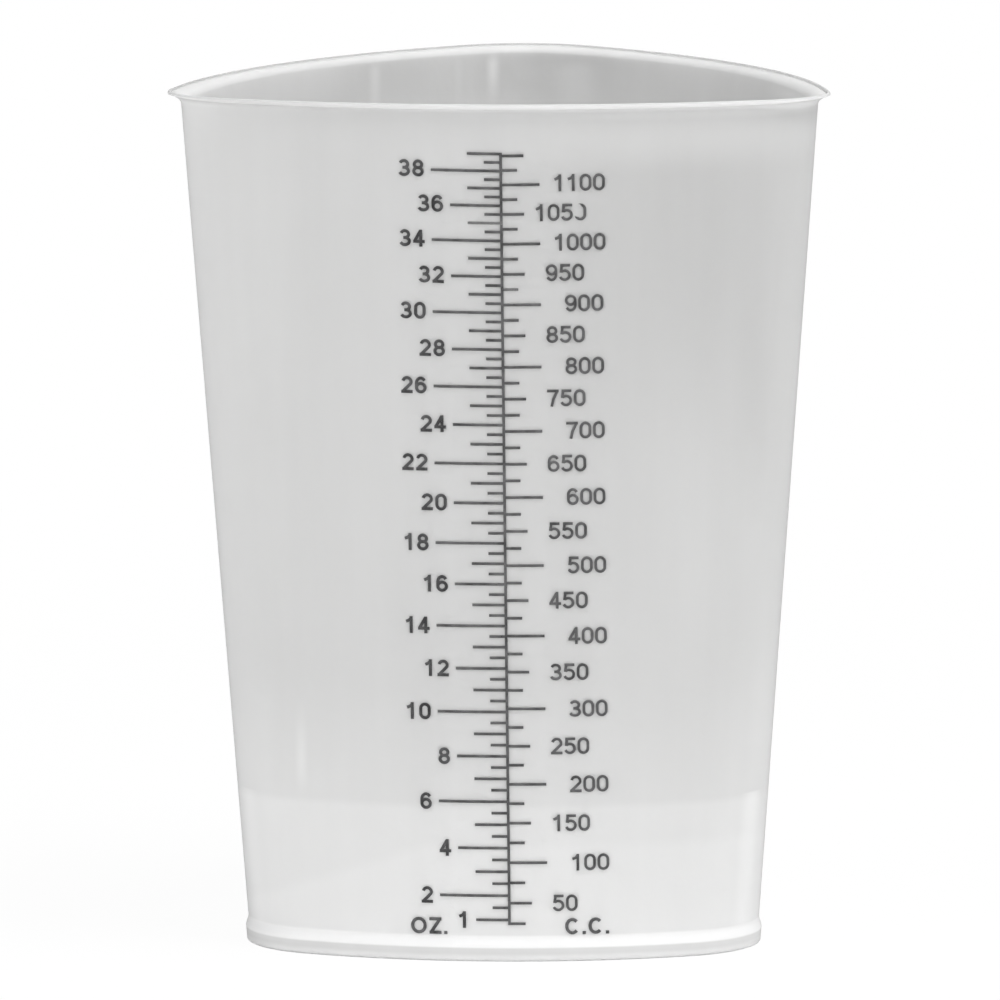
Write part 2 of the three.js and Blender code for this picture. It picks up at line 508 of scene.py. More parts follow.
@dataclass(frozen=True)
class LipForm:
    """The rim's lip: how far it stands out, how deep it starts and how thick its edge is.

    There is a little of it all round, and more at the two pouring lips, where its edge is thinnest.
    """

    flare: Number
    drop: Number
    edge: Number
    spout_flare: Number
    spout_drop: Number
    spout_edge: Number
    spout_turn: Number
    spout_spread: Number

    def weight(self, facing: Number) -> Number:
        """How much of a pouring lip there is in a direction.

        Args:
            facing: The direction of the wall's normal in plan.

        Returns:
            A share from 0 to 1.
        """
        weight = 0.0
        for spout in (-self.spout_turn, TURN / 2 + self.spout_turn):
            off = abs(remainder(facing - spout + TURN / 2, TURN) - TURN / 2)
            hump = cos(TURN / 4 * off / self.spout_spread)
            weight = larger(weight, below(off, self.spout_spread) * hump * hump)
        return weight

    def at(self, facing: Number) -> tuple[Number, Number, Number]:
        """The lip in a direction.

        Args:
            facing: The direction of the wall's normal in plan.

        Returns:
            Its flare, its drop and how much thinner its edge is there.
        """
        weight = self.weight(facing)
        flare = self.flare + weight * (self.spout_flare - self.flare)
        drop = self.drop + weight * (self.spout_drop - self.drop)
        return flare, drop, weight * (self.edge - self.spout_edge)


@dataclass(frozen=True)
class VesselForm:
    """The outer wall, drawn straight from the base to the rim between points that face the same way."""

    height: Number
    base: RoundedTriangle
    rim: RoundedTriangle
    axis_y: Number = 0.0

    def surface(self, facing: Number, inset: Number, level: Number) -> tuple[Number, Number, Number]:
        """A point on the wall or beside it.

        Args:
            facing: The direction of the wall's normal in plan.
            inset: How far inside the outer wall the point lies.
            level: Its height above the table.

        Returns:
            The point.
        """
        share = level / self.height
        base_x, base_y = self.base.point(facing)
        rim_x, rim_y = self.rim.point(facing)
        return (
            base_x + share * (rim_x - base_x) - inset * cos(facing),
            base_y + share * (rim_y - base_y) - inset * sin(facing) + self.axis_y,
            level,
        )

    def print_point(self, across: Number, level: Number, lift: Number) -> tuple[Number, Number, Number]:
        """A point of what is printed on the front wall.

        Args:
            across: How far to the right of the wall's middle it lies.
            level: Its height above the table.
            lift: How far it stands off the wall.

        Returns:
            The point.
        """
        bow = self.base.bow + level / self.height * (self.rim.bow - self.base.bow)
        return self.surface(FRONT + arcsin(across / bow), -lift, level)


class Face(Enum):
    """Faces of the vessel that a patch can lie on."""

    FRONT = "outside of the front wall"
    REAR = "inside of the two rear walls"
    INSIDE = "inside, all round"


@dataclass(frozen=True)
class Patch:
    """A patch of painted light and shade: a paler or darker patch of a face.

    It is strongest along its middle line. It grows from its low to its high level, and fades out above that.
    """

    face: Face
    across: float
    width: float
    low: float
    high: float
    fade: float
    strength: float


@dataclass(frozen=True)
class ToneStep:
    """A soft step in the tone, as painted light from the white table: the wall is paler below a level, which
    may slope down left of a bend.
    """

    level: float
    edge: float
    tone: float
    bend: float = 0.0
    slope: float = 0.0


@dataclass(frozen=True)
class MilkyPlastic:
    """Natural polypropylene: a cloudy, satin plastic that light passes into. Its tone carries painted light,
    paler towards the table, and painted light and shade at the foot, the corners, the rim and in patches.
    """

    tint: Colour = (1.0, 1.0, 0.997, 1.0)
    wall_tone: float = 0.70
    # Painted light from the white table: the lower walls are painted paler, softly below about 43 mm and in
    # two steps lower down.
    haze: ToneStep = ToneStep(43 * MM, 14 * MM, 0.045)
    steps: tuple[ToneStep, ...] = (
        ToneStep(29.3 * MM, 1.0 * MM, 0.05),
        ToneStep(21.8 * MM, 1.6 * MM, 0.03, -13 * MM, 0.36),
    )
    # Painted highlight: the foot's slope is painted nearly white, standing for the light that it catches.
    slope_tone: float = 0.965
    # Painted light: the foot is painted paler towards the table, as if the white table lit it from below.
    foot_high_tone: float = 0.735
    foot_low_tone: float = 0.97
    foot_pale_from: float = 1.7 * MM
    foot_pale_to: float = 0.2 * MM
    fine_edge: float = 0.25 * MM
    # Painted highlight: the three corners are painted paler below the corner level, in a narrow upright
    # stripe, more on the right than on the left.
    corner_level: float = 30 * MM
    left_glow: float = 0.045
    right_glow: float = 0.1
    corner_width: float = math.radians(4.5)
    # Painted shade: the top of the rim's rounded edge is painted darker, more at the rear, as the dark line
    # that the thin edge shows in the light.
    crest_depth: float = 0.4 * MM
    front_crest_tone: float = 0.57
    rear_crest_tone: float = 0.44
    rear_crest_from: float = -38 * MM
    rear_crest_to: float = -30 * MM
    cloud_waves: float = 22.0
    cloud_detail: float = 3.0
    cloud_depth: float = 0.035
    draw_waves: float = 170.0
    draw_length: float = 5.0
    draw_depth: float = 0.04
    scuff_waves: float = 900.0
    scuff_detail: float = 4.0
    scuff_depth: float = 0.16
    grain_waves: float = 700.0
    grain_height: float = 0.02 * MM
    roughness: float = 0.36
    index: float = 1.49
    shine: float = 0.03
    skin_tint: Colour = (0.965, 0.965, 0.965, 1.0)
    skin_index: float = 1.002
    scatter: float = 2.2 * MM
    scatter_colours: tuple[float, float, float] = (1.0, 1.0, 1.0)
    # Painted light and shade: darker patches on the front wall's upper right, on its rim towards the left
    # and on the insides of the rear walls under the rim, and paler ones on the front wall's right side,
    # under the lip and in the right inner corner.
    shades: tuple[Patch, ...] = (
        Patch(Face.FRONT, 38 * MM, 60 * MM, 65 * MM, 147 * MM, 8 * MM, -0.077),
        Patch(Face.FRONT, 37 * MM, 9 * MM, 40 * MM, 80 * MM, 40 * MM, 0.03),
        Patch(Face.FRONT, 48.5 * MM, 6 * MM, 75 * MM, 105 * MM, 30 * MM, -0.03),
        Patch(Face.FRONT, 51 * MM, 7 * MM, 8 * MM, 45 * MM, 30 * MM, 0.04),
        Patch(Face.FRONT, -50 * MM, 52 * MM, 159.2 * MM, 160 * MM, 3 * MM, -0.1),
        Patch(Face.FRONT, 48 * MM, 75 * MM, 157.4 * MM, 158.9 * MM, 1.2 * MM, 0.09),
        Patch(Face.INSIDE, 58 * MM, 11 * MM, 146 * MM, 157 * MM, 3 * MM, 0.26),
        Patch(Face.REAR, 2 * MM, 32 * MM, 148 * MM, 158.5 * MM, 2 * MM, -0.1),
        Patch(Face.REAR, -27 * MM, 14 * MM, 148 * MM, 158.5 * MM, 2 * MM, -0.07),
    )
    # Painted highlights: narrow pale upright streaks on the insides of the rear walls, strongest just under
    # the rim, and one short pale streak low on the front wall's left.
    flow_lines: tuple[Patch, ...] = (
        Patch(Face.REAR, -27.7 * MM, 1.5 * MM, 140 * MM, 157 * MM, 3 * MM, 0.09),
        Patch(Face.REAR, -12.6 * MM, 1.2 * MM, 140 * MM, 157 * MM, 3 * MM, 0.03),
        Patch(Face.REAR, -6.2 * MM, 1.7 * MM, 148 * MM, 157 * MM, 3 * MM, 0.14),
        Patch(Face.REAR, 9.7 * MM, 7 * MM, 144 * MM, 156 * MM, 3 * MM, 0.06),
        Patch(Face.FRONT, -36.5 * MM, 1.6 * MM, 29 * MM, 37 * MM, 13 * MM, 0.06),
    )

    def zones(self, shading: Shading, vessel: "Vessel") -> Value:
        """The tone of each zone, from the foot to the rim, with painted light towards the table, on the foot
        and at the corners, and painted shade along the rim's crest.

        Args:
            shading: The material's tree.
            vessel: The moulding whose heights the zones follow.

        Returns:
            The tone, from 0 for black to 1 for white.
        """
        x, y, z = shading.parts(shading.place)
        fine = self.fine_edge
        slope_top = vessel.foot_height + vessel.foot_slope
        tone = self.wall_tone
        # Painted light from the table: the wall is painted paler below each step.
        for step in (self.haze, *self.steps):
            above = z - smaller(x - step.bend, 0.0) * step.slope if step.slope else z
            tone = tone + shading.ramp(above, step.level + step.edge, step.level - step.edge) * step.tone
        # Painted highlight down the corners, low on the wall.
        heading = arctan2(y - vessel.form.axis_y, x)
        off_corner = abs(remainder(heading - REAR + SIXTH, THIRD) - SIXTH)
        corner = shading.ramp(off_corner, self.corner_width, 0.0)
        low = shading.ramp(z, self.corner_level + fine, self.corner_level - fine)
        right = shading.ramp(x, -vessel.base.corner, vessel.base.corner)
        tone = tone + low * corner * (self.left_glow + right * (self.right_glow - self.left_glow))
        # Painted highlight on the foot's slope.
        slope = shading.ramp(z, slope_top + fine, slope_top - fine)
        tone = tone + slope * (self.slope_tone - tone)
        # Painted light on the foot, paler towards the table.
        foot = shading.ramp(z, vessel.foot_height + fine, vessel.foot_height - fine)
        down = shading.ramp(z, self.foot_pale_from, self.foot_pale_to)
        foot_painted_tone = self.foot_high_tone + down * (self.foot_low_tone - self.foot_high_tone)
        tone = tone + foot * (foot_painted_tone - tone)
        # Painted shade along the rim's crest, darker at the rear.
        rear = shading.ramp(y, self.rear_crest_from, self.rear_crest_to)
        crest_painted_shade = self.front_crest_tone + rear * (self.rear_crest_tone - self.front_crest_tone)
        crest = shading.ramp(z, vessel.height - self.crest_depth, vessel.height - self.crest_depth / 2)
        return tone + crest * (crest_painted_shade - tone)

    def streaks(self, shading: Shading, vessel: "Vessel") -> Value:
        """The changes of tone: clouds and draw lines in the plastic, and the patches and streaks of painted
        light and shade.

        Args:
            shading: The material's tree.
            vessel: The moulding.

        Returns:
            The change of tone.
        """
        x, y, z = shading.parts(shading.place)
        cloud = shading.noise((self.cloud_waves,) * 3, self.cloud_detail)
        draw = shading.noise((self.draw_waves, self.draw_waves, self.draw_length))
        change = cloud * self.cloud_depth + draw * self.draw_depth
        inside = shading.ramp(shading.attribute("inset"), vessel.wall / 2, vessel.wall)
        faces = {
            Face.FRONT: shading.ramp(-y, 0.0, vessel.rim.corner) * (1 - inside),
            Face.REAR: shading.ramp(y, 0.0, vessel.rim.corner) * inside,
            Face.INSIDE: inside,
        }
        # Painted light and shade: each patch and streak adds its strength to the tone of its face.
        for patch in (*self.shades, *self.flow_lines):
            across = shading.ramp(abs(x - patch.across), patch.width, 0.0)
            growing = shading.ramp(z, patch.low, patch.high)
            fading = shading.ramp(z, patch.high + patch.fade, patch.high)
            change = change + faces[patch.face] * across * growing * fading * patch.strength
        return change

    def material(self, vessel: "Vessel") -> bpy.types.Material:
        """Builds the material.

        Args:
            vessel: The moulding that it is for.

        Returns:
            The material.
        """
        shading = Shading(Slot.PLASTIC.value)
        # The base colour carries the painted light and shade of the zones, patches and streaks.
        tone = self.zones(shading, vessel) + self.streaks(shading, vessel)
        scuff = shading.noise((self.scuff_waves,) * 3, self.scuff_detail)
        grain = shading.noise((self.grain_waves,) * 3)
        return shading.finish(
            {"subsurface_method": "RANDOM_WALK"},
            {
                "Base Color": shading.mix(tone, BLACK, self.tint),
                "Roughness": self.roughness + scuff * self.scuff_depth,
                "IOR": self.index,
                "Specular IOR Level": self.shine,
                "Coat Weight": FULL,
                "Coat Roughness": self.roughness,
                "Coat IOR": self.skin_index,
                "Coat Tint": self.skin_tint,
                "Subsurface Weight": FULL,
                "Subsurface Radius": self.scatter_colours,
                "Subsurface Scale": self.scatter,
                "Normal": shading.bump(grain, self.grain_height),
            },
        )


@dataclass(frozen=True)
class WearSpot:
    """A place where the print is rubbed off."""

    across: float
    level: float
    half_width: float
    half_height: float
    loss: float


@dataclass(frozen=True)
class ScaleInk:
    """Thin black screen-printing ink, with pinholes and rubbed spots."""

    name: str
    thin: Colour
    thick: Colour
    film_waves: float = 420.0
    film_middle: float = 0.5
    film_contrast: float = 2.4
    roughness: float = 0.55
    roughness_spread: float = 0.3
    shine: float = 0.2
    hole_waves: float = 2600.0
    hole_detail: float = 1.0
    hole_level: float = 0.16
    hole_edge: float = 0.07
    hole_loss: float = 0.55
    spot_core: float = 0.55

    def material(self, spots: Iterable[WearSpot]) -> bpy.types.Material:
        """Builds the material.

        Args:
            spots: Where the print is worn.

        Returns:
            The material.
        """
        shading = Shading(self.name)
        x, _, z = shading.parts(shading.place)
        film = shading.noise((self.film_waves,) * 3)
        holes = shading.noise((self.hole_waves,) * 3, self.hole_detail)
        cover = 1 - shading.ramp(holes, self.hole_level, self.hole_level + self.hole_edge) * self.hole_loss
        for spot in spots:
            sideways = (x - spot.across) / spot.half_width
            upward = (z - spot.level) / spot.half_height
            worn = shading.ramp(sideways * sideways + upward * upward, FULL, self.spot_core)
            cover = cover * (1 - worn * spot.loss)
        depth = self.film_middle + film * self.film_contrast
        return shading.finish(
            {},
            {
                "Base Color": shading.mix(depth, self.thin, self.thick),
                "Roughness": self.roughness + film * self.roughness_spread,
                "Specular IOR Level": self.shine,
                "Alpha": cover,
            },
        )


@dataclass(frozen=True)
class Row:
    """One point of the vessel's section, before the lip's flare, drop and thinning are known."""

    inset: float
    level: float
    flare_share: float = 0.0
    drop_share: float = 0.0
    thin_inset: float = 0.0
    thin_rise: float = 0.0
    centre_share: float = 0.0


@dataclass
class Vessel:
    """The moulding: walls, floor, foot ring and flared rim in one piece."""

    height: float = 161 * MM
    wall: float = 1.3 * MM
    rim: RoundedTriangle = RoundedTriangle(reach=47.8 * MM, corner=18 * MM, bow=123 * MM)
    base: RoundedTriangle = RoundedTriangle(reach=32.5 * MM, corner=19.5 * MM, bow=90 * MM)
    floor_level: float = 3.2 * MM
    floor_thickness: float = 1.5 * MM
    floor_fillet: float = 2.5 * MM
    foot_proud: float = 0.6 * MM
    foot_height: float = 2.6 * MM
    foot_slope: float = 2.2 * MM
    foot_width: float = 2.4 * MM
    foot_edge: float = 0.4 * MM
    lip: LipForm = LipForm(
        flare=0.9 * MM,
        drop=1.3 * MM,
        edge=1.0 * MM,
        spout_flare=2.5 * MM,
        spout_drop=2.3 * MM,
        spout_edge=0.7 * MM,
        spout_turn=math.radians(20),
        spout_spread=math.radians(60),
    )
    lip_band: float = 0.4 * MM
    spout_band: float = 0.2 * MM
    lip_curl: float = math.radians(62)
    facings: int = 480
    wall_rows: int = 24
    curl_rows: int = 8
    edge_rows: int = 10
    fillet_rows: int = 6
    floor_rows: int = 8
    weld: float = 0.001 * MM
    sharp: float = math.radians(40)
    finish: MilkyPlastic = field(default_factory=MilkyPlastic)

    @cached_property
    def form(self) -> VesselForm:
        """The outer wall, with the rim's outline centred on the origin.

        Returns:
            The wall in plain numbers.
        """
        loose = VesselForm(self.height, self.base, self.rim)
        ends = [loose.surface(side, -self.lip.at(side)[0], self.edge_start)[1] for side in (FRONT, REAR)]
        return replace(loose, axis_y=-sum(ends) / 2)

    @property
    def edge_start(self) -> float:
        """The height at which the rim's half-round edge starts."""
        return self.height - self.lip.edge / 2

    def form_in(self, tool: GeometryTool) -> VesselForm:
        """The outer wall, with its sizes as named inputs of a tree.

        Args:
            tool: The tree.

        Returns:
            The wall in values of the tree.
        """
        base = with_inputs(self.base, tool, "Base")
        rim = with_inputs(self.rim, tool, "Rim")
        return VesselForm(tool.size("Height", self.height), base, rim, tool.size("Axis", self.form.axis_y))

    def section(self) -> list[Row]:
        """The wall's section, from the underside of the floor round the outside and the rim to its inside.

        Returns:
            The rows.
        """
        under = self.floor_level - self.floor_thickness
        ring_inset = self.foot_width - self.foot_proud
        floor_inset = self.wall + self.floor_fillet
        shares = [1 - i / self.floor_rows for i in range(self.floor_rows + 1)]
        rows = [Row(ring_inset, under, centre_share=share) for share in shares]
        rows += self.foot(ring_inset)
        rows += self.straight(0.0, self.foot_height + self.foot_slope)
        rows += self.rim_rows()
        rows += reversed(self.straight(self.wall, self.floor_level + self.floor_fillet))
        rows += self.fillet()
        rows += [Row(floor_inset, self.floor_level, centre_share=share) for share in reversed(shares)]
        return rows

    def foot(self, ring_inset: float) -> list[Row]:
        """The foot ring's two rounded edges, its outer face and the slope back to the wall.

        Args:
            ring_inset: How far inside the outer wall the ring's inner face lies.

        Returns:
            The rows.
        """
        inner, outer, slope = [], [], []
        for i in range(self.edge_rows + 1):
            turn = TURN / 4 * i / self.edge_rows
            rise = self.foot_edge * (1 - math.cos(turn))
            fall = self.foot_edge * (1 - math.sin(turn))
            inner.append(Row(ring_inset - rise, fall))
            outer.append(Row(fall - self.foot_proud, rise))
        for i in range(self.curl_rows + 1):
            t = i / self.curl_rows
            smooth = t * t * (3 - 2 * t)
            slope.append(Row(-self.foot_proud * (1 - smooth), self.foot_height + self.foot_slope * t))
        return inner + outer + slope

    def straight(self, inset: float, low: float) -> list[Row]:
        """A straight side of the wall, whose top follows the lip's drop.

        Args:
            inset: How far inside the outer wall it lies.
            low: The height at which it starts.

        Returns:
            The rows between its ends, from the lowest to the highest.
        """
        shares = [i / self.wall_rows for i in range(1, self.wall_rows)]
        return [Row(inset, low + (self.edge_start - low) * share, drop_share=share) for share in shares]

    def fillet(self) -> list[Row]:
        """The round between the inside of the wall and the floor.

        Returns:
            The rows.
        """
        rows = []
        for i in range(self.fillet_rows + 1):
            turn = TURN / 4 * i / self.fillet_rows
            inset = self.wall + self.floor_fillet * (1 - math.cos(turn))
            rows.append(Row(inset, self.floor_level + self.floor_fillet * (1 - math.sin(turn))))
        return rows

    def rim_rows(self) -> list[Row]:
        """The lip's outside, its rounded edge and its inside, where the wall thins towards the edge.

        Returns:
            The rows.
        """
        outer, edge, inner = [], [], []
        # Where the edge is thinner, its half-round starts higher by half of that.
        start_rise = 0.5
        band_share = (self.lip_band - self.spout_band) / (self.lip.edge - self.lip.spout_edge)
        for i in range(self.curl_rows + 1):
            t = i / self.curl_rows
            turn = self.lip_curl * t
            out = (1 - math.cos(turn)) / (1 - math.cos(self.lip_curl))
            down = 1 - math.sin(turn) / math.sin(self.lip_curl)
            band_start = self.edge_start - self.lip_band * t
            outer.append(Row(0.0, band_start, out, down, thin_rise=start_rise + band_share * t))
            inset = self.wall + (self.lip.edge - self.wall) * t
            inner.append(Row(inset, self.edge_start, out, down, thin_inset=-t, thin_rise=start_rise))
        for i in range(self.edge_rows):
            turn = TURN / 2 * i / self.edge_rows
            across = (1 - math.cos(turn)) / 2
            below_top = (1 - math.sin(turn)) / 2
            level = self.height - self.lip.edge * below_top
            edge.append(Row(self.lip.edge * across, level, 1.0, thin_inset=-across, thin_rise=below_top))
        return outer + edge + inner[::-1]

    def sweep(self) -> GeometryTool:
        """The tree that carries the section round the plan.

        Returns:
            The tree.
        """
        tool = GeometryTool("vessel_sweep", self.finish.material(self))
        form = self.form_in(tool)
        lip = with_inputs(self.lip, tool, "Lip")
        facings = tool.count("Facings", self.facings)
        circle = tool.value("GeometryNodeCurvePrimitiveCircle", {"mode": "RADIUS"}, {"Resolution": facings})
        facing = FRONT + TURN * tool.value("GeometryNodeInputIndex") / facings
        stored = {"Geometry": circle, "Name": "facing", "Value": facing}
        number = {"data_type": "FLOAT", "domain": "POINT"}
        path = tool.value("GeometryNodeStoreNamedAttribute", number, stored)
        profile = tool.value("GeometryNodeMeshToCurve", None, {"Mesh": tool.geometry})
        swept = tool.value("GeometryNodeCurveToMesh", None, {"Curve": path, "Profile Curve": profile})

        facing = tool.attribute("facing")
        flare, drop, thinning = lip.at(facing)
        inset = tool.attribute("inset") - flare * tool.attribute("flare_share")
        inset = inset + thinning * tool.attribute("thin_inset")
        level = tool.attribute("level") - drop * tool.attribute("drop_share")
        level = level + thinning * tool.attribute("thin_rise")
        outward = 1 - tool.attribute("centre_share")
        x, y, z = form.surface(facing, inset, level)
        placed = tool.place(swept, x * outward, form.axis_y + (y - form.axis_y) * outward, z)
        welding = {"Geometry": placed, "Distance": self.weld}
        merged = tool.value("GeometryNodeMergeByDistance", None, welding)
        facing_out = tool.value("GeometryNodeFlipFaces", None, {"Mesh": merged})
        smooth = tool.value("GeometryNodeSetShadeSmooth", None, {"Geometry": facing_out})
        tool.close(smooth)
        return tool

    def build(self) -> None:
        """Builds and dresses the moulding."""
        rows = self.section()
        places = [(row.inset, row.level, 0.0) for row in rows]
        steps = [(i, i + 1) for i in range(len(rows) - 1)]
        numbers = {part.name: [getattr(row, part.name) for row in rows] for part in fields(Row)}
        start = mesh_of_points("section", places, steps, **numbers)
        piece = self.sweep().run("vessel_moulding", start)
        piece.data.set_sharp_from_angle(angle=self.sharp)
        settle(piece, Slot.PLASTIC, "vessel")


@dataclass(frozen=True)
class Stroke:
    """One pull of the pen, as points on its middle line.

    A closed stroke runs back to its start, and a square one runs half a pen past both of its ends.
    """

    points: tuple[Point, ...]
    closed: bool = False
    square: bool = False


# Degrees between two points of an arc, and round a whole ellipse.
ARC_STEP = 18
WHOLE_ARC = 360


def arc(centre: Point, radii: Point, start: float, end: float) -> tuple[Point, ...]:
    """Points along part of an ellipse.

    Args:
        centre: Its middle.
        radii: Its half width and half height.
        start: The angle of the first point, in degrees from the right.
        end: The angle of the last point.

    Returns:
        The points.
    """
    steps = round(abs(end - start) / ARC_STEP)
    turns = np.radians(np.linspace(start, end, steps + 1))
    return tuple((centre[0] + radii[0] * math.cos(t), centre[1] + radii[1] * math.sin(t)) for t in turns)


def ring(centre: Point, radii: Point) -> Stroke:
    """A whole ellipse."""
    return Stroke(arc(centre, radii, 0, WHOLE_ARC)[:-1], closed=True)


def bar(start: Point, end: Point) -> Stroke:
    """A straight stroke with square ends."""
    return Stroke((start, end), square=True)


def turned(strokes: Sequence[Stroke]) -> tuple[Stroke, ...]:
    """Strokes turned upside down in their box."""
    flipped = (tuple((1 - x, 1 - y) for x, y in stroke.points) for stroke in strokes)
    return tuple(replace(stroke, points=points) for stroke, points in zip(strokes, flipped))


# Each sign is drawn in a box from (0, 0) to (1, 1), which the pen's middle line fills.
SIX = (
    ring((0.5, 0.3), (0.5, 0.3)),
    Stroke(((0.0, 0.3),) + arc((0.5, 0.64), (0.5, 0.36), 180, 28)),
)
SIGNS: dict[str, tuple[Stroke, ...]] = {
    "0": (
        Stroke(arc((0.5, 0.68), (0.5, 0.32), 0, 180) + arc((0.5, 0.32), (0.5, 0.32), 180, 360), closed=True),
    ),
    "1": (bar((0.62, 0.0), (0.62, 1.0)), Stroke(((0.02, 0.74), (0.36, 0.82), (0.62, 0.98)))),
    "2": (Stroke(arc((0.5, 0.71), (0.48, 0.29), 168, -28) + ((0.02, 0.02),)), bar((0.0, 0.0), (0.98, 0.0))),
    "3": (
        Stroke(arc((0.47, 0.755), (0.45, 0.245), 160, -90) + ((0.3, 0.51),)),
        Stroke(((0.3, 0.51),) + arc((0.47, 0.255), (0.53, 0.255), 90, -160)),
    ),
    "4": (bar((0.72, 0.0), (0.72, 1.0)), Stroke(((0.66, 1.0), (0.0, 0.28))), bar((0.0, 0.26), (1.0, 0.26))),
    "5": (
        bar((0.13, 1.0), (0.92, 1.0)),
        Stroke(((0.17, 1.06), (0.06, 0.5))),
        Stroke(arc((0.47, 0.32), (0.53, 0.32), 135, -158)),
    ),
    "6": SIX,
    "7": (bar((0.0, 1.0), (1.0, 1.0)), Stroke(((0.98, 0.98), (0.55, 0.42), (0.36, -0.1)))),
    "8": (ring((0.5, 0.755), (0.43, 0.245)), ring((0.5, 0.265), (0.5, 0.265))),
    "9": turned(SIX),
    "O": (ring((0.5, 0.5), (0.5, 0.5)),),
    "Z": (bar((0.0, 1.0), (1.0, 1.0)), Stroke(((1.0, 1.0), (0.0, 0.0))), bar((0.0, 0.0), (1.0, 0.0))),
    "C": (Stroke(arc((0.5, 0.5), (0.5, 0.5), 42, 318)),),
    ".": (bar((0.0, 0.0), (0.0, 0.001)),),
}


@dataclass(frozen=True)
class Lettering:
    """Bold plain figures and capitals, drawn with one width of pen."""

    height: float = 3.15 * MM
    pen: float = 0.6 * MM
    gap: float = 0.3 * MM
    figure_width: float = 2.15 * MM
    widths: dict[str, float] = field(
        default_factory=lambda: {"O": 2.95 * MM, "Z": 2.25 * MM, "C": 2.7 * MM, ".": 0.6 * MM}
    )

    def width(self, letter: str) -> float:
        """How wide a sign is."""
        return self.widths.get(letter, self.figure_width)

    def length(self, text: str) -> float:
        """How long a line of signs is."""
        return sum(self.width(letter) for letter in text) + self.gap * (len(text) - 1)

    def write(self, text: str, left: float, middle: float) -> list[Stroke]:
        """Writes a line of signs.

        Args:
            text: The signs.
            left: Where the line starts.
            middle: The height of its middle.

        Returns:
            The strokes.
        """
        strokes = []
        half = self.pen / 2
        low = middle - self.height / 2 + half
        for letter in text:
            wide = self.width(letter) - self.pen
            high = self.height - self.pen
            for stroke in SIGNS[letter]:
                points = tuple((left + half + x * wide, low + y * high) for x, y in stroke.points)
                strokes.append(replace(stroke, points=points))
            left += self.width(letter) + self.gap
        return strokes


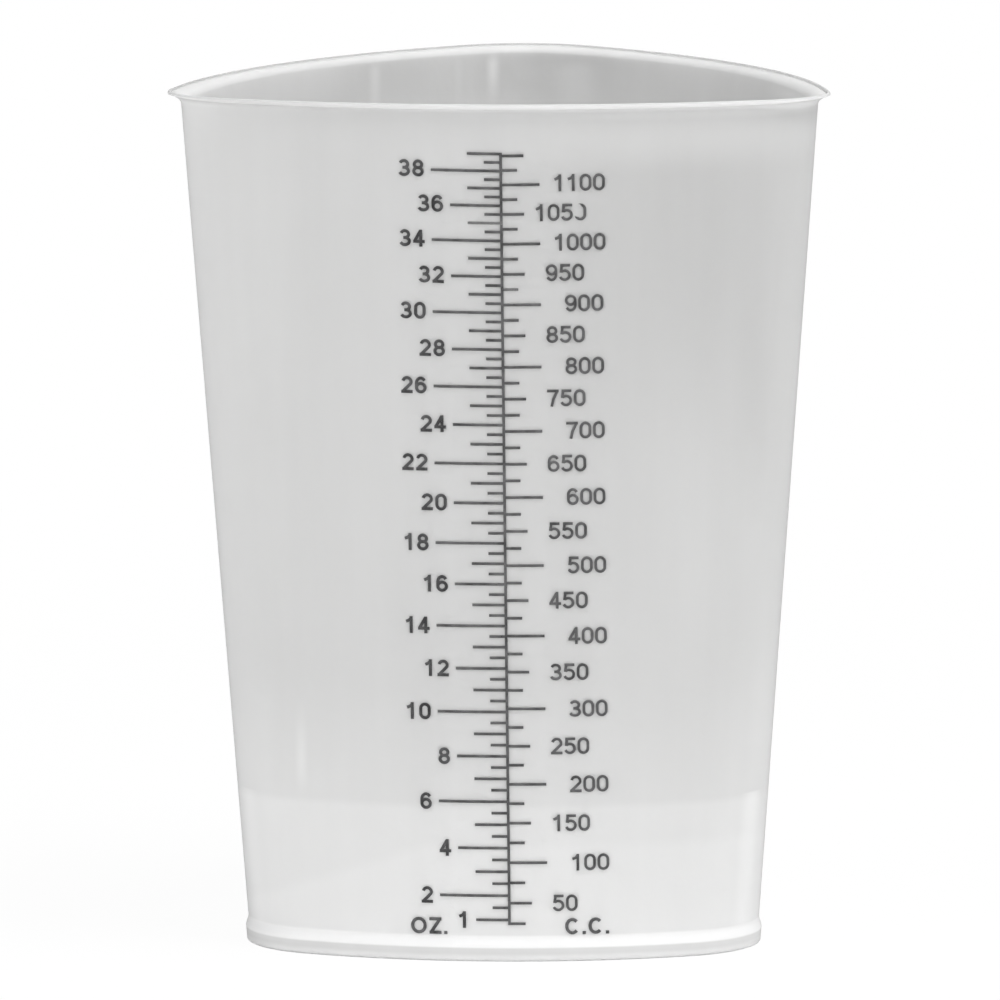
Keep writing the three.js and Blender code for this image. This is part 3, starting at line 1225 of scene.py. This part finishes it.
@dataclass
class PrintedScale:
    """The double scale: a spine, ounce marks on its left and cc marks on its right, numbers and units."""

    vessel: Vessel
    ounce_first: float = 1.0
    ounce_step: float = 0.5
    ounce_number_step: int = 2
    ounce_short_step: int = 4
    cc_step: int = 25
    cc_number_step: int = 50
    cc_long_step: int = 100
    cc_four_figures: int = 1000
    headroom: float = 9 * MM
    spine_foot: float = 2.6 * MM
    spine_lean: float = math.radians(0.34)
    mark_rise: float = 0.015
    number_lift: float = 0.25 * MM
    rise_start: float = 60 * MM
    rise_end: float = 150 * MM
    line: float = 0.5 * MM
    film: float = 0.06 * MM
    gap: float = 0.02 * MM
    half_ounce: float = 3.1 * MM
    odd_ounce: float = 6.2 * MM
    fourth_ounce: float = 9.4 * MM
    even_ounce: float = 12.9 * MM
    cc_25: float = 3.0 * MM
    cc_50: float = 4.2 * MM
    cc_100: float = 7.1 * MM
    number_gap: float = 1.3 * MM
    fifty_start: float = 8.05 * MM
    hundred_start: float = 11.5 * MM
    thousand_shift: float = 1.95 * MM
    last_cc_number: int = 1100
    unit_level: float = 6.6 * MM
    ounce_unit_start: float = -18.4 * MM
    cc_unit_start: float = 10.3 * MM
    worn_number: int = 1050
    worn_nought: WearSpot = WearSpot(0.55 * MM, 0.55 * MM, 1.15 * MM, 1.5 * MM, 1.0)
    faint_ounce: int = 35
    faint_ounce_mark: WearSpot = WearSpot(-3.0 * MM, 0.0, 4.6 * MM, 0.8 * MM, 0.6)
    faint_cc: int = 925
    faint_cc_mark: WearSpot = WearSpot(2.0 * MM, 0.0, 2.4 * MM, 0.8 * MM, 0.6)
    level_step: float = 0.5 * MM
    bend_step: float = 1.6 * MM
    ounce_figures: Lettering = field(default_factory=lambda: Lettering(pen=0.57 * MM, gap=0.42 * MM))
    cc_figures: Lettering = field(default_factory=lambda: Lettering(pen=0.5 * MM))
    capitals: Lettering = field(default_factory=lambda: Lettering(gap=0.5 * MM))
    light_ink: ScaleInk = ScaleInk("light_ink", (0.14, 0.14, 0.142, 1.0), (0.06, 0.06, 0.061, 1.0))
    dense_ink: ScaleInk = ScaleInk("dense_ink", (0.105, 0.105, 0.107, 1.0), (0.03, 0.03, 0.031, 1.0))

    @cached_property
    def fill(self) -> tuple[np.ndarray, np.ndarray]:
        """What the vessel holds.

        Returns:
            Levels above the table, and the volume up to each of them.
        """
        vessel = self.vessel
        levels = np.arange(vessel.floor_level, vessel.height, self.level_step)
        facing = np.linspace(0, TURN, vessel.facings, endpoint=False)[:, None]
        x, y, _ = vessel.form.surface(facing, vessel.wall, levels[None, :])
        cross = x * np.roll(y, -1, axis=0) - np.roll(x, -1, axis=0) * y
        areas = cross.sum(axis=0) / 2
        slices = (areas[1:] + areas[:-1]) / 2 * self.level_step
        return levels, np.concatenate(([0.0], np.cumsum(slices)))

    def level(self, volume: float) -> float:
        """The height of the liquid's surface at a volume."""
        levels, volumes = self.fill
        return float(np.interp(volume, volumes, levels))

    @cached_property
    def ounces(self) -> list[float]:
        """The ounces that have a mark."""
        steps = np.arange(self.ounce_first, self.fill[1][-1] / FLUID_OUNCE, self.ounce_step)
        return [float(ounce) for ounce in steps if self.level(ounce * FLUID_OUNCE) <= self.top]

    @cached_property
    def cubic(self) -> list[int]:
        """The cubic centimetres that have a mark."""
        steps = range(self.cc_step, int(self.fill[1][-1] / CC), self.cc_step)
        return [volume for volume in steps if self.level(volume * CC) <= self.top]

    @property
    def top(self) -> float:
        """The height above which the wall has no marks."""
        return self.vessel.height - self.headroom

    def ounce_mark(self, ounce: float) -> float:
        """How long an ounce mark is.

        Args:
            ounce: The ounces that it stands for.

        Returns:
            Its length.
        """
        if ounce % 1:
            return self.half_ounce
        if ounce % self.ounce_number_step:
            return self.odd_ounce
        return self.even_ounce if ounce % self.ounce_short_step else self.fourth_ounce

    def cc_mark(self, volume: int) -> float:
        """How long a cc mark is.

        Args:
            volume: The cubic centimetres that it stands for.

        Returns:
            Its length.
        """
        if volume % self.cc_number_step:
            return self.cc_25
        return self.cc_50 if volume % self.cc_long_step else self.cc_100

    def marks(self) -> list[Stroke]:
        """The spine and the marks on both of its sides.

        Returns:
            The strokes.
        """
        ends = (self.level(self.cubic[0] * CC), self.level(self.ounces[-1] * FLUID_OUNCE))
        strokes = [Stroke(((0.0, ends[0]), (0.0, ends[1])), square=True)]
        tips = [(-self.ounce_mark(ounce), self.level(ounce * FLUID_OUNCE)) for ounce in self.ounces]
        tips += [(self.cc_mark(volume), self.level(volume * CC)) for volume in self.cubic]
        return strokes + [Stroke(((0.0, level), (reach, level))) for reach, level in tips]

    def ounce_numbers(self) -> list[Stroke]:
        """The ounce numbers, each of which ends a little to the left of its mark.

        Returns:
            The strokes.
        """
        strokes = []
        for ounce in self.ounces:
            if ounce == self.ounce_first or ounce % self.ounce_number_step == 0:
                text = f"{ounce:.0f}"
                right = -self.ounce_mark(ounce) - self.number_gap
                level = self.number_level(ounce * FLUID_OUNCE)
                strokes += self.ounce_figures.write(text, right - self.ounce_figures.length(text), level)
        return strokes

    def number_level(self, volume: float) -> float:
        """The height of a number's middle, which lies a little above its mark near the rim."""
        level = self.level(volume)
        return level + self.rise_share(level) * self.number_lift

    def rise_share(self, level: Number) -> Number:
        """How much of the print's rise there is at a height, from 0 to 1."""
        return smaller(larger((level - self.rise_start) / (self.rise_end - self.rise_start), 0.0), 1.0)

    def cc_number_start(self, volume: int) -> float:
        """Where a cc number starts."""
        start = self.fifty_start if volume % self.cc_long_step else self.hundred_start
        return start - self.thousand_shift if volume >= self.cc_four_figures else start

    def cc_numbers(self) -> list[Stroke]:
        """The cc numbers, in two columns.

        Returns:
            The strokes.
        """
        strokes = []
        for volume in range(self.cc_number_step, self.last_cc_number + 1, self.cc_number_step):
            start = self.cc_number_start(volume)
            strokes += self.cc_figures.write(str(volume), start, self.number_level(volume * CC))
        return strokes

    def unit_marks(self) -> list[Stroke]:
        """The units under the two rows of numbers."""
        ounces = self.capitals.write("OZ.", self.ounce_unit_start, self.unit_level)
        return ounces + self.capitals.write("C.C.", self.cc_unit_start, self.unit_level)

    def wear(self) -> list[WearSpot]:
        """The places where the print is rubbed off: most of one nought, and two faint marks.

        Returns:
            The spots, as they lie on the wall.
        """
        figures = self.cc_figures
        before = str(self.worn_number)[:-1]
        nought = self.cc_number_start(self.worn_number) + figures.length(before) + figures.gap
        return [
            self.spot(self.worn_nought, nought, self.worn_number * CC),
            self.spot(self.faint_ounce_mark, 0.0, self.faint_ounce * FLUID_OUNCE),
            self.spot(self.faint_cc_mark, 0.0, self.faint_cc * CC),
        ]

    def spot(self, given: WearSpot, start: float, volume: float) -> WearSpot:
        """Puts a worn spot on the wall.

        Args:
            given: The spot, as it lies from a place of the drawing.
            start: How far to the right of the spine that place lies.
            volume: The volume whose level that place is at.

        Returns:
            The spot on the wall.
        """
        across, level = self.shift(start + given.across, self.level(volume) + given.level)
        return replace(given, across=across, level=level)

    def shift(self, across: Number, level: Number) -> tuple[Number, Number]:
        """Carries a place from the straight drawing to the print, which leans and rises to both sides.

        Args:
            across: How far to the right of the spine it lies.
            level: Its height.

        Returns:
            How far to the right of the wall's middle it lies, and its height.
        """
        spine = self.spine_foot - level * math.tan(self.spine_lean)
        return spine + across, level + self.rise_share(level) * abs(across) * self.mark_rise

    def drawing(self, strokes: Iterable[Stroke], pen: float) -> bpy.types.Mesh:
        """The strokes' middle lines on a flat sheet.

        Args:
            strokes: The strokes.
            pen: The width of the pen.

        Returns:
            A mesh of their points and edges.
        """
        points, edges = [], []
        for stroke in strokes:
            corners = np.array(stroke.points)
            if stroke.square:
                along = (corners[-1] - corners[0]) / np.linalg.norm(corners[-1] - corners[0])
                corners = np.array([corners[0] - along * pen / 2, corners[-1] + along * pen / 2])
            if len(corners) == 2:
                steps = max(1, round(float(np.linalg.norm(corners[1] - corners[0])) / self.bend_step))
                corners = np.linspace(corners[0], corners[1], steps + 1)
            first = len(points)
            points += [(x, y, 0.0) for x, y in corners.tolist()]
            edges += [(i, i + 1) for i in range(first, len(points) - 1)]
            if stroke.closed:
                edges.append((len(points) - 1, first))
        return mesh_of_points("drawing", points, edges)

    def press(self, name: str, pen: float, finish: bpy.types.Material) -> GeometryTool:
        """The tree that draws strokes with a flat pen and lays them on the front wall.

        Args:
            name: The tree's name.
            pen: The width of the pen.
            finish: The ink.

        Returns:
            The tree.
        """
        tool = GeometryTool(name, finish)
        form = self.vessel.form_in(tool)
        film = tool.size("Ink film", self.film)
        nib_size = {"Width": tool.size("Pen width", pen), "Height": film}
        path = tool.value("GeometryNodeMeshToCurve", None, {"Mesh": tool.geometry})
        path = tool.value("GeometryNodeSetCurveNormal", {"mode": "Z_UP"}, {"Curve": path})
        nib = tool.value("GeometryNodeCurvePrimitiveQuadrilateral", {"mode": "RECTANGLE"}, nib_size)
        sweep = {"Curve": path, "Profile Curve": nib, "Fill Caps": True}
        drawn = tool.value("GeometryNodeCurveToMesh", None, sweep)
        union = {"Mesh 2": drawn, "Self Intersection": True}
        joined = tool.value("GeometryNodeMeshBoolean", {"operation": "UNION", "solver": "EXACT"}, union)
        welding = {"Geometry": joined, "Distance": self.vessel.weld}
        joined = tool.value("GeometryNodeMergeByDistance", None, welding)
        x, y, z = tool.parts(tool.value("GeometryNodeInputPosition"))
        across, level = self.shift(x, y)
        lift = z + film / 2 + tool.size("Gap to the wall", self.gap)
        tool.close(tool.place(joined, *form.print_point(across, level, lift)))
        return tool

    def build(self) -> None:
        """Prints the scale."""
        light = self.light_ink.material(self.wear())
        dense = self.dense_ink.material(self.wear())
        pieces = (
            ("scale_marks", light, self.line, self.marks(), ("scale_print",)),
            ("ounce_numbers", dense, self.ounce_figures.pen, self.ounce_numbers(), ()),
            ("cc_numbers", light, self.cc_figures.pen, self.cc_numbers(), ()),
            ("unit_marks", light, self.capitals.pen, self.unit_marks(), ()),
        )
        for name, finish, width, strokes, replaced in pieces:
            piece = self.press(f"{name}_press", width, finish).run(name, self.drawing(strokes, width))
            settle(piece, Slot.INK, *replaced)


@dataclass(frozen=True)
class Lamp:
    """A square soft light that points at the beaker."""

    name: str
    place: tuple[float, float, float]
    side: float
    power: float


@dataclass(frozen=True)
class PhotoView:
    """Where the camera stands, how it is turned and how far it reaches."""

    distance: float = 2.43463
    height: float = 0.40345
    turn: float = math.radians(3.2664)
    pan: float = math.radians(0.0336)
    pitch: float = math.radians(7.5441)
    roll: float = math.radians(-0.1454)
    sensor: float = 36.0
    lens: float = 469.51
    reach: float = 100.0


@dataclass
class Studio:
    """A pale floor, soft light and the camera at the photograph's angle."""

    vessel: Vessel
    view: PhotoView = PhotoView()
    floor_side: float = 20.0
    floor_colour: Colour = (0.93, 0.93, 0.93, 1.0)
    floor_glow: float = 0.96
    shadow_near: float = 0.15
    shadow_far: float = 0.6
    ambient: float = 0.15
    lamps: tuple[Lamp, ...] = (
        Lamp("left", (-1.5, -0.9, 1.1), 1.3, 14.6),
        Lamp("front left", (-1.3, -1.5, 0.3), 1.0, 5.0),
        Lamp("right", (1.2, -0.6, 1.5), 1.2, 11.5),
        Lamp("top", (0.6, -0.4, 1.8), 1.0, 25.5),
        Lamp("rear", (0.3, 1.8, 0.5), 1.3, 5.5),
    )

    def build(self) -> None:
        """Builds everything that isn't part of the beaker."""
        bpy.context.scene.view_settings.view_transform = "Standard"
        self.floor()
        self.world()
        for lamp in self.lamps:
            self.light(lamp)
        self.camera()

    def floor(self) -> None:
        """A wide pale floor that shows as white and keeps the beaker's shadow."""
        shading = Shading("floor")
        diffuse = shading.value("ShaderNodeBsdfDiffuse", None, {"Color": self.floor_colour})
        glow = shading.value("ShaderNodeEmission", None, {"Color": WHITE, "Strength": FULL})
        seen = self.seen(shading)
        away = shading.value("ShaderNodeVectorMath", {"operation": "LENGTH"}, {0: shading.place}, "Value")
        clear = shading.ramp(away, self.shadow_near, self.shadow_far)
        share = seen * (self.floor_glow + clear * (1 - self.floor_glow))
        mixed = shading.value("ShaderNodeMixShader", None, {0: share, 1: diffuse, 2: glow})
        shading.node("ShaderNodeOutputMaterial", None, {"Surface": mixed})
        side = self.floor_side
        mesh = bpy.data.meshes.new("floor")
        corners = [(-side, -side, 0), (side, -side, 0), (side, side, 0), (-side, side, 0)]
        mesh.from_pydata(corners, [], [(0, 1, 2, 3)])
        mesh.materials.append(shading.material)
        floor = bpy.data.objects.new("floor", mesh)
        bpy.context.scene.collection.objects.link(floor)

    def world(self) -> None:
        """An even light from all sides, which shows as white."""
        world = bpy.data.worlds.new("studio")
        world.use_nodes = True
        world.node_tree.nodes.clear()
        bpy.context.scene.world = world
        graph = Graph(world.node_tree)
        strength = self.ambient + self.seen(graph) * (1 - self.ambient)
        back = graph.value("ShaderNodeBackground", None, {"Color": WHITE, "Strength": strength})
        graph.node("ShaderNodeOutputWorld", None, {"Surface": back})

    def seen(self, graph: Graph) -> Value:
        """Whether the camera sees a thing, straight or in gloss or glass.

        Args:
            graph: The tree that asks.

        Returns:
            1 if so, and 0 where the thing only gives light.
        """
        path = graph.node("ShaderNodeLightPath")
        seen = Value(graph, path.outputs["Is Camera Ray"])
        for name in ("Is Glossy Ray", "Is Transmission Ray"):
            seen = larger(seen, Value(graph, path.outputs[name]))
        return seen

    def light(self, lamp: Lamp) -> None:
        """Hangs a lamp.

        Args:
            lamp: The lamp.
        """
        data = bpy.data.lights.new(lamp.name, "AREA")
        data.size = lamp.side
        data.energy = lamp.power
        light = bpy.data.objects.new(lamp.name, data)
        light.location = lamp.place
        aim = Vector((0, 0, self.vessel.height / 2)) - light.location
        light.rotation_euler = aim.to_track_quat("-Z", "Y").to_euler()
        bpy.context.scene.collection.objects.link(light)

    def camera(self) -> None:
        """Sets up the camera at the photograph's angle."""
        view = self.view
        data = bpy.data.cameras.new("camera")
        data.sensor_width = view.sensor
        data.lens = view.lens
        data.clip_end = view.reach
        camera = bpy.data.objects.new("camera", data)
        heading = view.turn + view.pan
        level = math.cos(view.pitch)
        forward = Vector((-math.sin(heading) * level, math.cos(heading) * level, -math.sin(view.pitch)))
        right = Vector((math.cos(heading), math.sin(heading), 0.0))
        up = right.cross(forward)
        tilted_right = math.cos(view.roll) * right + math.sin(view.roll) * up
        tilted_up = math.cos(view.roll) * up - math.sin(view.roll) * right
        back = self.vessel.form.axis_y - view.distance * math.cos(view.turn)
        place = Vector((view.distance * math.sin(view.turn), back, view.height))
        turned_axes = Matrix((tilted_right, tilted_up, -forward)).transposed().to_4x4()
        camera.matrix_world = Matrix.Translation(place) @ turned_axes
        bpy.context.scene.collection.objects.link(camera)
        bpy.context.scene.camera = camera


def main() -> None:
    """Builds the beaker and the studio around it."""
    logging.basicConfig(level=logging.INFO, format="%(name)s: %(message)s")
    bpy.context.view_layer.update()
    vessel = Vessel()
    vessel.build()
    PrintedScale(vessel).build()
    Studio(vessel).build()


if __name__ == "__main__":
    main()
